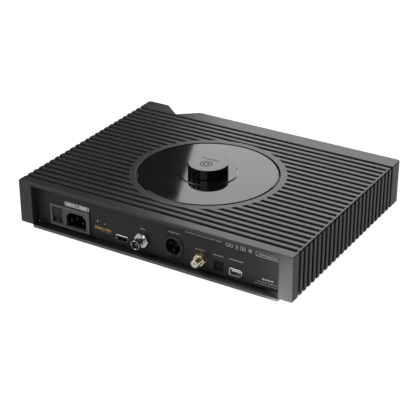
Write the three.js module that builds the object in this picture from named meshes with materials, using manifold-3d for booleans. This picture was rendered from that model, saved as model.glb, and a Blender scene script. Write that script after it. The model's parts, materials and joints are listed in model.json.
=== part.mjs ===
// Compact top-loading disc player: ribbed aluminium case, lift-off round lid, sockets in a rear bay.
// Millimetres, +Z up. The front faces -Y, and the origin is on the ground under the middle.
import * as THREE from 'three';
import { mergeVertices } from 'three/addons/utils/BufferGeometryUtils.js';
import Module from 'manifold-3d';

const wasm = await Module();
wasm.setup();

// Driving dimensions.
const gap = 0.3; // clearance between pieces that touch
const caseWidth = 312;
const caseDepth = 240;
const caseHeight = 47.4;
const footHeight = 6;
const baseStep = 3.3; // the base plate hangs this far below the case sides
const socketOverhang = 3.6; // the longest socket stands this far behind the case

const topPlate = 7;
const sideWall = 17;
const topChamfer = 0.6;
const bottomRound = 1.4;
const cornerRound = 3.5;
const bay = { pillar: 15, depth: 10.4, lip: 4, panel: 2 };
const rib = { count: 24, pitch: 8.93, first: 13.1, groove: 4.1, depth: 3, lidRibIndex: 11 };
const notch = { x: 109, halfWidth: 21, depth: 17.4 };

const lid = { radius: 72.3, rimWall: 0.7, discDrop: 0.1, thickness: 3, bossRadius: 30.6, boss: 1 };
const lidSeat = { ringRadius: 80.6, clearance: 1.1, depth: 5, throat: 63 };
const knob = { radius: 20.8, height: 11.6, edge: 0.8, boreTop: 7 };
const well = { radius: 62.6, wall: 3, floorTop: 41, floor: 2, eye: 17 };
const disc = { seat: 43, thickness: 1.2, hubRadius: 15, coneRadius: 7.3 };

const lens = { inner: 24, outer: 57 };
const chassis = { halfWidth: 42, front: 76, rear: 34, low: 35.5, high: 37.5 };
const rail = { x: 16, z: 31.5, radius: 1.5 };
const feed = { x: 26, z: 29.5, radius: 1.6, motorRadius: 5.6 };

const display = { x: -70, width: 76, height: 24 };
const button = { xs: [10, 32, 54], radius: 5, travel: 0.8 };
const wheel = { setback: 0.6, radius: 11, low: 27.5, high: 40.5 };
const frontWall = 3.5;
const controlHeight = 33;

// Rear sockets: x from the left edge seen from behind, z up from the case's lower edge.
const inlet = {
  x: [31.6, 79.5], z: [1.7, 25.2],
  cavityX: 63.6, cavityZ: 12.4, depth: 17,
  rockerX: [34.2, 46.6], rockerZ: [5, 22.2], rockerDepth: 13,
};
const dataSocket = { x: [110.5, 125.3], z: [5, 11] };
const bayonet = { x: 142.4, z: 13.6, radius: 4.8, bore: 4.1, nutFlats: 14.2, nutFront: 3.9 };
const balanced = { x: 177.4, z: 15.7, radius: 12, cavity: 8.15, body: 11 };
const phono = { x: 209.4, z: 12.4, radius: 4.15, bore: 3.5, nutFlats: 11.2, nutFront: 6.2, washer: 6 };
const optical = { x: [222.5, 232.5], z: [3.8, 13.8] };
const usb = { x: [239.5, 253.8], z: [3.6, 11.4] };
const panelScrewHole = { x: 152.5, z: 37.2, radius: 1.2 };

// Derived places.
const rearY = (caseDepth - socketOverhang) / 2;
const frontY = rearY - caseDepth;
const caseBottom = footHeight + baseStep;
const caseTop = caseBottom + caseHeight;
const halfWidth = caseWidth / 2;
const innerHalf = halfWidth - sideWall;
const ceiling = caseTop - topPlate;
const baseTop = caseBottom - gap;
const panelRear = rearY - bay.depth;
const panelFront = panelRear - bay.panel;
const grooveY = (index) => rearY - rib.first - rib.pitch * index;
const seamY = grooveY(rib.count - 1);
const lidY = grooveY(rib.lidRibIndex);
const lidTop = caseTop - lid.discDrop;
const lidUnder = lidTop - lid.thickness;
const bossTop = lidTop + lid.boss;
const knobTop = caseTop + knob.height;
const notchApexY = frontY + notch.depth;
const wheelY = notchApexY + wheel.radius / 2 - wheel.setback;
const lensY = lidY - lens.inner;
const rearX = (fromLeft) => halfWidth - fromLeft;
const rearZ = (up) => caseBottom + up;

// Finishes.
const anodised = { color: 0x3c3c3d, roughness: 0.42, metalness: 0.8 };
const blackPaint = { color: 0x2b2a2a, roughness: 0.55, metalness: 0.3 };
const glossBlack = { color: 0x101011, roughness: 0.06, metalness: 0 };
const blackPlastic = { color: 0x191919, roughness: 0.5, metalness: 0 };
const darkRubber = { color: 0x141414, roughness: 0.9, metalness: 0 };
const steel = { color: 0xb4b5b8, roughness: 0.3, metalness: 1 };
const nickel = { color: 0xd2d3d6, roughness: 0.14, metalness: 1 };
const gold = { color: 0xd9a94a, roughness: 0.2, metalness: 1 };
const whiteInsulator = { color: 0xece9df, roughness: 0.4, metalness: 0 };
const boardGreen = { color: 0x12382a, roughness: 0.5, metalness: 0 };
const clearLens = { color: 0x6a7fa8, roughness: 0.05, metalness: 0 };
const windingTape = { color: 0x8a5a2c, roughness: 0.55, metalness: 0.2 };

// Solids.
function toManifold(geometry) {
  const bare = geometry.clone();
  for (const attribute of Object.keys(bare.attributes)) {
    if (attribute !== 'position') bare.deleteAttribute(attribute);
  }
  const welded = mergeVertices(bare, 1e-3);
  const corners = welded.index.array;
  const triangles = [];
  for (let i = 0; i < corners.length; i += 3) {
    const [a, b, c] = corners.slice(i, i + 3);
    if (a !== b && b !== c && c !== a) triangles.push(a, b, c);
  }
  return new wasm.Manifold(new wasm.Mesh({
    numProp: 3,
    vertProperties: new Float32Array(welded.attributes.position.array),
    triVerts: new Uint32Array(triangles),
  }));
}

function toGeometry(manifold) {
  const mesh = manifold.getMesh();
  const geometry = new THREE.BufferGeometry();
  geometry.setAttribute('position', new THREE.BufferAttribute(mesh.vertProperties, 3));
  geometry.setIndex(new THREE.BufferAttribute(mesh.triVerts, 1));
  geometry.computeVertexNormals();
  return geometry;
}

const join = (...pieces) => toGeometry(pieces.map(toManifold).reduce((a, b) => a.add(b)));
const cut = (body, ...tools) =>
  toGeometry(tools.map(toManifold).reduce((a, b) => a.subtract(b), toManifold(body)));
const common = (a, b) => toGeometry(toManifold(a).intersect(toManifold(b)));

// A box between two corners.
function block(x, y, z) {
  const box = new THREE.BoxGeometry(x[1] - x[0], y[1] - y[0], z[1] - z[0]);
  return box.translate((x[0] + x[1]) / 2, (y[0] + y[1]) / 2, (z[0] + z[1]) / 2);
}

// A turned body about +Z: the profile is [radius, height] points, counter-clockwise.
function turned(profile, x, y, sides = 32) {
  const points = profile.map(([radius, height]) => new THREE.Vector2(radius, height));
  return new THREE.LatheGeometry(points, sides).rotateX(Math.PI / 2).translate(x, y, 0);
}

// The same about +Y: the profile is [radius, y] points, counter-clockwise.
function turnedY(profile, x, z, sides = 32) {
  const points = profile.map(([radius, y]) => new THREE.Vector2(radius, y));
  return new THREE.LatheGeometry(points, sides).translate(x, 0, z);
}

const discProfile = (radius, low, high) => [[0, low], [radius, low], [radius, high], [0, high]];
const ringProfile = (inner, outer, low, high) =>
  [[inner, low], [outer, low], [outer, high], [inner, high], [inner, low]];
const pillar = (radius, x, y, low, high, sides) => turned(discProfile(radius, low, high), x, y, sides);
const bar = (radius, x, z, front, rear, sides) => turnedY(discProfile(radius, front, rear), x, z, sides);

// Extruded outlines: along +Z from an XY outline, along +Y from an XZ one, along +X from a YZ one.
function prismZ(outline, low, high) {
  const options = { depth: high - low, bevelEnabled: false, curveSegments: 3 };
  return new THREE.ExtrudeGeometry(outline, options).translate(0, 0, low);
}

function prismY(outline, front, rear) {
  return prismZ(outline, 0, rear - front).rotateX(Math.PI / 2).translate(0, rear, 0);
}

function prismX(outline, left, right) {
  const turn = new THREE.Matrix4();
  turn.makeBasis(new THREE.Vector3(0, 1, 0), new THREE.Vector3(0, 0, 1), new THREE.Vector3(1, 0, 0));
  return prismZ(outline, left, right).applyMatrix4(turn);
}

const polygon = (points) => new THREE.Shape(points.map(([a, b]) => new THREE.Vector2(a, b)));

// A regular hexagon with its corners to the sides.
function hexagon(acrossFlats, x, z) {
  const radius = acrossFlats / Math.sqrt(3);
  const corners = [0, 1, 2, 3, 4, 5].map((i) => i * Math.PI / 3);
  return polygon(corners.map((angle) => [x + radius * Math.cos(angle), z + radius * Math.sin(angle)]));
}

const player = new THREE.Group();

function addPart(name, geometry, finish) {
  const mesh = new THREE.Mesh(geometry, new THREE.MeshStandardMaterial(finish));
  mesh.name = name;
  player.add(mesh);
}

// Case section across X: chamfered above, rounded below.
function caseSection() {
  const section = new THREE.Shape();
  section.moveTo(-halfWidth, caseTop - topChamfer);
  section.lineTo(-halfWidth, caseBottom + bottomRound);
  const centre = [halfWidth - bottomRound, caseBottom + bottomRound];
  section.absarc(-centre[0], centre[1], bottomRound, Math.PI, 1.5 * Math.PI);
  section.absarc(centre[0], centre[1], bottomRound, 1.5 * Math.PI, 2 * Math.PI);
  section.lineTo(halfWidth, caseTop - topChamfer);
  section.lineTo(halfWidth - topChamfer, caseTop);
  section.lineTo(-halfWidth + topChamfer, caseTop);
  return section;
}

// What is left of the section inside the grooves.
function grooveCore() {
  const half = halfWidth - rib.depth;
  const high = caseTop - rib.depth;
  return polygon([
    [-half, 0],
    [half, 0],
    [half, high - topChamfer],
    [half - topChamfer, high],
    [-half + topChamfer, high],
    [-half, high - topChamfer],
  ]);
}

function grooves(first, last) {
  const core = prismY(grooveCore(), frontY - 5, rearY + 5);
  const lidIsland = pillar(lidSeat.ringRadius, 0, lidY, 0, caseTop + 5, 72);
  const slabs = [];
  for (let i = first; i <= last; i += 1) {
    const y = grooveY(i);
    const across = [y - rib.groove / 2, y + rib.groove / 2];
    slabs.push(block([-halfWidth - 5, halfWidth + 5], across, [0, caseTop + 5]));
  }
  return cut(join(...slabs), core, lidIsland);
}

const bossBox = { x: [innerHalf - 14, innerHalf + 1], rear: [88, 103], front: [seamY + gap / 2, -85] };
const baseScrews = [-1, 1].flatMap((side) => [[side * 132, 95.5], [side * 132, -93]]);

function topCover() {
  const shell = prismY(caseSection(), seamY + gap / 2, rearY);
  const bosses = [-1, 1].flatMap((side) => [bossBox.rear, bossBox.front].map((y) => {
    const x = bossBox.x.map((value) => side * value).sort((a, b) => a - b);
    return block(x, y, [0, ceiling + 1]);
  }));
  const room = cut(block([-innerHalf, innerHalf], [seamY - 5, panelFront], [0, ceiling]), ...bosses);
  const bayHalf = halfWidth - bay.pillar;
  const rearBay = block([-bayHalf, bayHalf], [panelFront - gap, rearY + 5], [0, caseTop - bay.lip]);
  const seatRadius = lid.radius + lidSeat.clearance;
  const lidRoom = turned([
    [0, 0], [lidSeat.throat, 0], [lidSeat.throat, caseTop - lidSeat.depth],
    [seatRadius, caseTop - lidSeat.depth], [seatRadius, caseTop + 5], [0, caseTop + 5],
  ], 0, lidY, 72);
  const screwHoles = baseScrews.map(([x, y]) => pillar(1.8, x, y, 0, 24, 16));
  return cut(shell, room, rearBay, lidRoom, grooves(0, rib.count - 1), ...screwHoles);
}

addPart('top_cover', topCover(), anodised);

// Front bezel: plain block with a sharp V notch, pocketed from behind.
function bezelPlan() {
  const plan = new THREE.Shape();
  const back = seamY - gap / 2;
  const inset = halfWidth - cornerRound;
  plan.moveTo(-halfWidth, back);
  plan.lineTo(-halfWidth, frontY + cornerRound);
  plan.absarc(-inset, frontY + cornerRound, cornerRound, Math.PI, 1.5 * Math.PI);
  plan.lineTo(notch.x - notch.halfWidth, frontY);
  plan.lineTo(notch.x, notchApexY);
  plan.lineTo(notch.x + notch.halfWidth, frontY);
  plan.absarc(inset, frontY + cornerRound, cornerRound, 1.5 * Math.PI, 2 * Math.PI);
  plan.lineTo(halfWidth, back);
  return plan;
}

const wallBack = frontY + frontWall;
const displayBox = {
  x: [display.x - display.width / 2, display.x + display.width / 2],
  z: [controlHeight - display.height / 2, controlHeight + display.height / 2],
};

function frontBezel() {
  const body = common(prismY(caseSection(), frontY - 5, rearY), prismZ(bezelPlan(), 0, caseTop + 5));
  const pocket = block([-122, 80], [wallBack, rearY], [15.5, 49]);
  const windowHole = block(displayBox.x, [frontY - 5, rearY], displayBox.z);
  const buttonHoles = button.xs.map((x) => bar(button.radius + gap, x, controlHeight, frontY - 5, rearY));
  const wheelSlot = pillar(wheel.radius + 0.4, notch.x, wheelY, wheel.low - gap, wheel.high + gap, 48);
  const encoderRoom = block([notch.x - 8, notch.x + 8], [notchApexY + 2, rearY], [0, wheel.low]);
  const lastGroove = grooves(rib.count - 1, rib.count - 1);
  return cut(body, lastGroove, pocket, windowHole, ...buttonHoles, wheelSlot, encoderRoom);
}

addPart('front_bezel', frontBezel(), anodised);

// Base plate with the posts that carry the boards and the disc mechanism.
const dampers = [[-36, lidY - 70], [36, lidY - 70], [0, lidY + 28]];
const damperLow = 33.9;
const mainBoard = { x: [-136, -70], y: [-82, 82], z: [17, 18.6] };
const powerBoard = { x: [70, 136], y: [-78, 78], z: [15, 16.6] };
const rearBoard = { x: [-104, 52], y: [80, 105.2], z: [12, 13.6] };
const boardInset = 6;

function boardCorners(board) {
  const xs = [board.x[0] + boardInset, board.x[1] - boardInset];
  const ys = [board.y[0] + boardInset, board.y[1] - boardInset];
  return xs.flatMap((x) => ys.map((y) => [x, y, board.z[0] - gap]));
}

function basePlate() {
  const half = halfWidth - bay.pillar;
  const plate = block([-half, half], [seamY - 1.5, rearY], [footHeight, baseTop]);
  const mechanismPosts = dampers.map(([x, y]) => pillar(4, x, y, footHeight + 1, damperLow - gap, 12));
  const standoffs = [mainBoard, powerBoard, rearBoard].flatMap(boardCorners)
    .map(([x, y, top]) => pillar(2.5, x, y, footHeight + 1, top, 8));
  const screwHoles = baseScrews.flatMap(([x, y]) => [
    pillar(1.8, x, y, 0, 20, 12),
    pillar(3.4, x, y, 0, footHeight + 2, 16),
  ]);
  return cut(join(plate, ...mechanismPosts, ...standoffs), ...screwHoles);
}

addPart('base_plate', basePlate(), blackPaint);

baseScrews.forEach(([x, y], i) => {
  const screw = turned([
    [0, footHeight], [3, footHeight], [3, footHeight + 1.7], [1.5, footHeight + 1.7],
    [1.5, 22], [0, 22],
  ], x, y, 12);
  addPart(`base_screw_${i + 1}`, screw, steel);
});

const feet = [-1, 1].flatMap((side) => [[side * 116, 86], [side * 116, -82]]);
feet.forEach(([x, y], i) => {
  const foot = turned([
    [0, 0], [11.5, 0], [12.5, 1], [14, 1.6], [14, footHeight - gap], [0, footHeight - gap],
  ], x, y, 24);
  addPart(`foot_${i + 1}`, foot, darkRubber);
});

// Rear panel, cut for each socket.
const inletBox = { x: inlet.x.map(rearX).sort((a, b) => a - b), z: inlet.z.map(rearZ) };
const spanOf = (range) => range.map(rearX).sort((a, b) => a - b);
const grown = (range, by) => [range[0] - by, range[1] + by];

function rearPanel() {
  const half = halfWidth - bay.pillar - gap;
  const sheet = block([-half, half], [panelFront, panelRear], [caseBottom, caseTop - bay.lip - gap]);
  const through = [panelFront - 5, panelRear + 5];
  return cut(
    sheet,
    block(grown(inletBox.x, -1.4), through, grown(inletBox.z, -1.4)),
    block(grown(spanOf(dataSocket.x), gap), through, grown(dataSocket.z.map(rearZ), gap)),
    bar(5.3, rearX(bayonet.x), rearZ(bayonet.z), ...through),
    bar(11.3, rearX(balanced.x), rearZ(balanced.z), ...through, 40),
    bar(4.5, rearX(phono.x), rearZ(phono.z), ...through),
    block(grown(spanOf(optical.x), gap), through, grown(optical.z.map(rearZ), gap)),
    block(grown(spanOf(usb.x), -0.4), through, grown(usb.z.map(rearZ), -0.4)),
    bar(panelScrewHole.radius, rearX(panelScrewHole.x), rearZ(panelScrewHole.z), ...through, 16),
  );
}

addPart('rear_panel', rearPanel(), blackPaint);

// Round lid: gloss disc in a turned rim, with the lifting knob and the disc clamp below it.
const rimLow = caseTop - lidSeat.depth + gap;
const discRadius = lid.radius - lid.rimWall;
const rimInner = 66;
const rimChamfer = 0.2;
addPart('lid_disc', turned([
  [2.4, lidUnder], [discRadius, lidUnder], [discRadius, lidTop], [lid.bossRadius, lidTop],
  [lid.bossRadius - 0.4, bossTop], [2.4, bossTop], [2.4, lidUnder],
], 0, lidY, 72), glossBlack);

addPart('lid_rim', turned([
  [rimInner, rimLow], [lid.radius, rimLow], [lid.radius, caseTop - rimChamfer],
  [lid.radius - rimChamfer, caseTop], [discRadius + gap, caseTop],
  [discRadius + gap, lidUnder - gap], [rimInner, lidUnder - gap], [rimInner, rimLow],
], 0, lidY, 72), anodised);

addPart('lid_knob', turned([
  [2, bossTop + gap], [knob.radius - 0.4, bossTop + gap], [knob.radius, bossTop + gap + 0.4],
  [knob.radius, knobTop - knob.edge], [knob.radius - knob.edge, knobTop], [0, knobTop],
  [0, bossTop + knob.boreTop], [2, bossTop + knob.boreTop], [2, bossTop + gap],
], 0, lidY, 48), glossBlack);

const cagePlateLow = 51;
addPart('clamp_retainer', turned([
  [2.4, cagePlateLow], [18.4, cagePlateLow], [18.4, 46.55], [12, 46.55], [12, 45.95], [20, 45.95],
  [20, lidUnder - gap], [2.4, lidUnder - gap], [2.4, cagePlateLow],
], 0, lidY, 32), blackPlastic);

addPart('knob_screw', turned([
  [0, 49.1], [3.8, 49.1], [3.8, cagePlateLow - gap], [1.7, cagePlateLow - gap],
  [1.7, bossTop + 6.5], [0, bossTop + 6.5],
], 0, lidY, 16), steel);

const discTop = disc.seat + disc.thickness;
addPart('disc_clamp', turned([
  [8.3, discTop + gap], [16, discTop + gap], [16, 45.6], [11.4, 45.6], [11.4, 46.9], [16, 46.9],
  [16, 48.2], [0, 48.2], [0, 46.6], [8.3, 46.6], [8.3, discTop + gap],
], 0, lidY, 32), blackPlastic);

// Disc well: a bowl under the lid opening, slotted for the spindle and the pickup.
const towerHalf = 6;
const towerFront = 3.5;
const towerRear = 6;
const slotY = [lidY - lens.outer - towerFront - 1, lensY + towerRear + 1];

function discWell() {
  const outer = well.radius + well.wall;
  const low = well.floorTop - well.floor;
  const bowl = turned([
    [0, low], [outer, low], [outer, ceiling - gap], [well.radius, ceiling - gap],
    [well.radius, well.floorTop], [0, well.floorTop],
  ], 0, lidY, 72);
  const eye = pillar(well.eye, 0, lidY, 0, caseTop, 36);
  const slot = block([-towerHalf - 2, towerHalf + 2], [slotY[0], lidY], [0, caseTop]);
  return cut(bowl, eye, slot);
}

addPart('disc_well', discWell(), blackPlastic);

// Spindle: turntable with its centring cone and motor shaft, on a motor under the chassis.
const motorTop = chassis.low - gap;
const motorLow = 23.5;
addPart('spindle_hub', turned([
  [0, motorLow + 2], [1, motorLow + 2], [1, 40.5], [disc.hubRadius, 40.5], [disc.hubRadius, disc.seat],
  [disc.coneRadius, disc.seat], [disc.coneRadius, discTop], [5, 45.7], [0, 45.7],
], 0, lidY, 28), blackPlastic);

addPart('spindle_motor', turned([
  [0, motorLow], [12.5, motorLow], [12.5, motorTop], [1.3, motorTop],
  [1.3, motorLow + 1.5], [0, motorLow + 1.5],
], 0, lidY, 24), steel);

function railHoles() {
  return [-rail.x, rail.x].map((x) => bar(rail.radius + gap, x, rail.z, lidY - 80, lidY + 20, 16));
}

function transportChassis() {
  const plate = block([-chassis.halfWidth, chassis.halfWidth], [lidY - chassis.front, lidY + chassis.rear],
    [chassis.low, chassis.high]);
  const frontEar = block([-20, feed.x + 3.6], [lidY - 75, lidY - 71.5], [feed.z - 4, chassis.low + 1]);
  const rearEars = [-rail.x, rail.x].map((x) =>
    block([x - 2.9, x + 3.5], [lidY + 2, lidY + 5], [28, chassis.low + 1]));
  const screwHole = bar(feed.radius + gap, feed.x, feed.z, lidY - 80, lidY - 60, 16);
  const slot = block([-towerHalf - 2, towerHalf + 2], slotY, [0, caseTop]);
  const spindleHole = pillar(7, 0, lidY, 0, caseTop, 24);
  return cut(join(plate, frontEar, ...rearEars), ...railHoles(), screwHole, slot, spindleHole);
}

addPart('transport_chassis', transportChassis(), steel);

dampers.forEach(([x, y], i) => {
  const damper = turned(ringProfile(2.2, 6, damperLow, chassis.low - gap), x, y, 16);
  addPart(`damper_${i + 1}`, damper, darkRubber);
});

// Pickup sled on two rails, driven by a lead screw.
function pickupSled() {
  const carriage = block([-20.5, 20.5], [lensY - 12, lensY + 9], [28.2, 34.9]);
  const tower = block([-towerHalf, towerHalf], [lensY - towerFront, lensY + towerRear], [34, 39.7]);
  const nutArm = block([19, feed.x + 4], [lensY - 4, lensY + 4], [feed.z - 3.5, 34.9]);
  const nutHole = bar(feed.radius + gap, feed.x, feed.z, lidY - 80, lidY + 20, 16);
  return cut(join(carriage, tower, nutArm), ...railHoles(), nutHole);
}

addPart('pickup_sled', pickupSled(), blackPlastic);
addPart('pickup_lens', turned([
  [0, 40], [2.6, 40], [2.6, 40.5], [1.6, 41.1], [0, 41.3],
], 0, lensY, 16), clearLens);
[-rail.x, rail.x].forEach((x, i) => {
  addPart(`guide_rail_${i + 1}`, bar(rail.radius, x, rail.z, lidY - 74.5, lidY + 4.5, 16), steel);
});

addPart('lead_screw', turnedY([
  [0, lidY - 74.5], [feed.radius, lidY - 74.5], [feed.radius, lidY - 2],
  [1, lidY - 2], [1, lidY + 6], [0, lidY + 6],
], feed.x, feed.z, 16), steel);
addPart('sled_motor', turnedY([
  [1.3, lidY - 1.6], [feed.motorRadius, lidY - 1.6], [feed.motorRadius, lidY + 16], [0, lidY + 16],
  [0, lidY + 7], [1.3, lidY + 7], [1.3, lidY - 1.6],
], feed.x, feed.z, 16), steel);

// Circuit boards, each with the parts soldered on it.
function populated(board, components) {
  const sheet = block(board.x, board.y, board.z);
  const top = board.z[1];
  return join(sheet, ...components.map(([x, y, width, depth, height]) =>
    block([x - width / 2, x + width / 2], [y - depth / 2, y + depth / 2], [top - 0.4, top + height])));
}

addPart('main_board', populated(mainBoard, [
  [-103, 30, 22, 22, 2.4], [-103, -8, 14, 14, 1.6], [-86, 0, 9, 18, 1.4], [-120, 5, 8, 12, 3],
  [-104, -45, 26, 8, 9], [-104, 62, 24, 10, 6],
]), boardGreen);

const canister = (radius, x, y, low, high) => pillar(radius, x, y, low, high, 14);
addPart('power_board', join(
  populated(powerBoard, [[100, 60, 18, 16, 12], [122, 60, 10, 22, 9], [86, -58, 8, 26, 16]]),
  canister(7, 108, -48, powerBoard.z[1] - 0.4, 38),
  canister(7, 124, -48, powerBoard.z[1] - 0.4, 38),
), boardGreen);

addPart('mains_transformer', turned([
  [9, 17.5], [11, 16.9], [24, 16.9], [27, 19.5], [27, 36], [24, 38.6], [11, 38.6], [9, 37.5], [9, 17.5],
], 103, 6, 28), windingTape);

addPart('rear_board', populated(rearBoard, [
  [-20, 86, 16, 8, 2], [20, 88, 12, 10, 1.8], [-70, 86, 10, 8, 2],
]), boardGreen);

// Mains inlet with its rocker switch.
const inletFace = panelRear + 2;
const inletRear = 84;
const cavity = {
  x: rearX(inlet.cavityX), z: rearZ(inlet.cavityZ),
  halfWidth: 12, halfHeight: 8.2, bevel: 4.5,
};
const rockerX = spanOf(inlet.rockerX);
const rockerZ = inlet.rockerZ.map(rearZ);
const rockerPivot = { y: inletFace - 5, z: (rockerZ[0] + rockerZ[1]) / 2 };
const rockerTilt = 8 * Math.PI / 180;

function cavityOutline() {
  const { x, z, halfWidth: w, halfHeight: h, bevel: c } = cavity;
  return polygon([
    [x - w, z - h], [x + w, z - h], [x + w, z + h - c],
    [x + w - c, z + h], [x - w + c, z + h], [x - w, z + h - c],
  ]);
}

function inletBody() {
  const flange = block(inletBox.x, [panelRear + gap, inletFace], inletBox.z);
  const housing = block(grown(inletBox.x, -1.7), [inletRear, inletFace - 0.5], grown(inletBox.z, -1.7));
  const socket = prismY(cavityOutline(), inletFace - inlet.depth, inletFace + 5);
  const rockerRoom = block(rockerX, [inletFace - inlet.rockerDepth, inletFace + 5], rockerZ);
  return cut(join(flange, housing), socket, rockerRoom);
}

addPart('inlet_body', inletBody(), blackPlastic);
[[-7, 0], [0, 3.4], [7, 0]].forEach(([dx, dz], i) => {
  const x = cavity.x + dx;
  const z = cavity.z + dz - 1;
  const pin = block([x - 1, x + 1], [inletFace - inlet.depth + gap, inletFace - 2], [z - 2, z + 2]);
  addPart(`inlet_pin_${i + 1}`, pin, nickel);
});

// Rocker: a shallow V face over a round heel, tilted to its first stop.
function powerRocker() {
  const half = (rockerZ[1] - rockerZ[0]) / 2 - 0.7;
  const face = polygon([
    [-1.5, -half], [3.2, -half], [4.2, 0], [3.2, half], [-1.5, half], [-4.5, 2.5], [-4.5, -2.5],
  ]);
  return prismX(face, rockerX[0] + gap, rockerX[1] - gap)
    .rotateX(-rockerTilt)
    .translate(0, rockerPivot.y, rockerPivot.z);
}

addPart('power_rocker', powerRocker(), blackPlastic);

// Flat data socket and wide serial socket: thin shells with a tongue.
function shellSocket(x, z, wall, rear, rim) {
  const shell = block(x, [rear, panelRear + rim], z);
  return cut(shell, block(grown(x, -wall), [rear + 1, rearY], grown(z, -wall)));
}

const dataX = spanOf(dataSocket.x);
const dataZ = dataSocket.z.map(rearZ);
addPart('data_socket_shell', shellSocket(dataX, dataZ, 0.6, 97, 0.8), steel);
const dataTongueZ = [dataZ[0] + 2.3, dataZ[0] + 3.5];
const dataTongueY = [98.3, panelRear - 1.5];
addPart('data_socket_tongue', block(grown(dataX, -2.4), dataTongueY, dataTongueZ), blackPlastic);

const usbX = spanOf(usb.x);
const usbZ = usb.z.map(rearZ);
function usbShell() {
  const tubeX = grown(usbX, -0.8);
  const tubeZ = grown(usbZ, -0.9);
  const flare = block(usbX, [panelRear + gap, panelRear + 0.9], usbZ);
  const tube = block(tubeX, [92, panelRear + 0.6], tubeZ);
  return cut(join(flare, tube), block(grown(tubeX, -0.5), [93, rearY], grown(tubeZ, -0.5)));
}
addPart('usb_shell', usbShell(), nickel);
const usbTongueZ = [usbZ[1] - 4, usbZ[1] - 2.1];
addPart('usb_tongue', block(grown(usbX, -2), [93.4, panelRear - 1], usbTongueZ), whiteInsulator);

// Bayonet coaxial socket: hexagonal collar, barrel with two lugs, centre insulator.
const coax = { x: rearX(bayonet.x), z: rearZ(bayonet.z), tip: rearY + socketOverhang };
function bayonetBody() {
  const barrel = turnedY([
    [0, 96], [5, 96], [5, panelRear + 1], [bayonet.radius, panelRear + 1],
    [bayonet.radius, coax.tip], [0, coax.tip],
  ], coax.x, coax.z, 24);
  const flats = hexagon(bayonet.nutFlats, coax.x, coax.z);
  const collar = prismY(flats, panelRear + gap, panelRear + bayonet.nutFront);
  const lugY = [coax.tip - 6, coax.tip - 4.2];
  const lugs = block([coax.x - 5.8, coax.x + 5.8], lugY, [coax.z - 0.9, coax.z + 0.9]);
  return cut(join(barrel, collar, lugs), bar(bayonet.bore, coax.x, coax.z, 109, rearY + 9, 24));
}
addPart('bayonet_socket_body', bayonetBody(), nickel);
addPart('bayonet_socket_insulator', turnedY([
  [0, 109.3], [3.7, 109.3], [3.7, coax.tip - 5], [2.2, coax.tip - 5],
  [2.2, coax.tip - 1.4], [0.7, coax.tip - 1.4], [0.7, coax.tip - 5], [0, coax.tip - 5],
], coax.x, coax.z, 16), whiteInsulator);

// Balanced socket: round shell with a cavity, and the insert that holds three pins.
const trio = { x: rearX(balanced.x), z: rearZ(balanced.z), floor: panelRear - 10.5, pinRing: 4.5 };
addPart('balanced_socket_shell', turnedY([
  [balanced.cavity, trio.floor - 2.6], [balanced.body, trio.floor - 2.6],
  [balanced.body, panelRear + gap], [balanced.radius, panelRear + gap],
  [balanced.radius, panelRear + 1.2], [balanced.cavity, panelRear + 1.2],
  [balanced.cavity, trio.floor - 2.6],
], trio.x, trio.z, 36), blackPaint);
const pinAngles = [0.15, 0.85, 1.5].map((turns) => turns * Math.PI);
addPart('balanced_socket_insert', join(
  bar(balanced.cavity - gap, trio.x, trio.z, trio.floor - 2.3, trio.floor, 32),
  ...pinAngles.map((angle) => bar(1.25, trio.x + trio.pinRing * Math.cos(angle),
    trio.z + trio.pinRing * Math.sin(angle), trio.floor - 1, panelRear - 0.8, 10)),
), blackPlastic);

// Phono socket: gold barrel with washer and nut, white centre.
const coupler = { x: rearX(phono.x), z: rearZ(phono.z), tip: rearY + socketOverhang };
function phonoBody() {
  const barrel = turnedY([
    [0, 99], [4.2, 99], [4.2, panelRear + gap], [phono.washer, panelRear + gap],
    [phono.washer, panelRear + 1.1], [phono.radius, panelRear + 1.1],
    [phono.radius, coupler.tip], [0, coupler.tip],
  ], coupler.x, coupler.z, 24);
  const flats = hexagon(phono.nutFlats, coupler.x, coupler.z);
  const nut = prismY(flats, panelRear + 1, panelRear + phono.nutFront);
  return cut(join(barrel, nut), bar(phono.bore, coupler.x, coupler.z, 110, rearY + 9, 24));
}
addPart('phono_socket_body', phonoBody(), gold);
addPart('phono_socket_insulator', turnedY([
  [0, 110.3], [3.2, 110.3], [3.2, coupler.tip - 0.2],
  [1.6, coupler.tip - 0.2], [1.6, 112], [0, 112],
], coupler.x, coupler.z, 16), whiteInsulator);

// Optical socket: square body with a spring shutter hinged at the top of its opening.
const opticalX = spanOf(optical.x);
const opticalZ = optical.z.map(rearZ);
const shutter = {
  x: grown(opticalX, -1.6), z: grown(opticalZ, -1.6),
  face: panelRear - 0.6, thickness: 0.9,
};
addPart('optical_socket', cut(
  join(
    block(opticalX, [panelFront + 0.5, panelRear + 0.8], opticalZ),
    block(opticalX, [94, panelFront + 1], [rearBoard.z[1] + gap, opticalZ[1]]),
  ),
  block(grown(shutter.x, gap), [96, rearY], grown(shutter.z, gap)),
), blackPlastic);
const shutterY = [shutter.face - shutter.thickness, shutter.face];
addPart('optical_shutter', block(shutter.x, shutterY, shutter.z), blackPlastic);

// Front controls: display behind a smoked window, three buttons, a thumb wheel in the notch.
const windowY = [frontY + gap, wallBack - gap];
const moduleY = [wallBack + gap, wallBack + 5.5];
const windowX = grown(displayBox.x, -gap);
addPart('display_window', block(windowX, windowY, grown(displayBox.z, -gap)), glossBlack);
addPart('display_module', block(grown(displayBox.x, 4), moduleY, grown(displayBox.z, 3)), blackPlastic);

const frontBoard = { y: [wallBack + 9.5, wallBack + 11.1], x: [-118, 76], z: [17, 47.5] };
function populatedFrontBoard() {
  const sheet = block(frontBoard.x, frontBoard.y, frontBoard.z);
  const connector = block([-70, -46], [frontBoard.y[1] - 0.5, frontBoard.y[1] + 4], [22, 28]);
  return join(sheet, connector);
}
addPart('front_board', populatedFrontBoard(), boardGreen);

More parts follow.
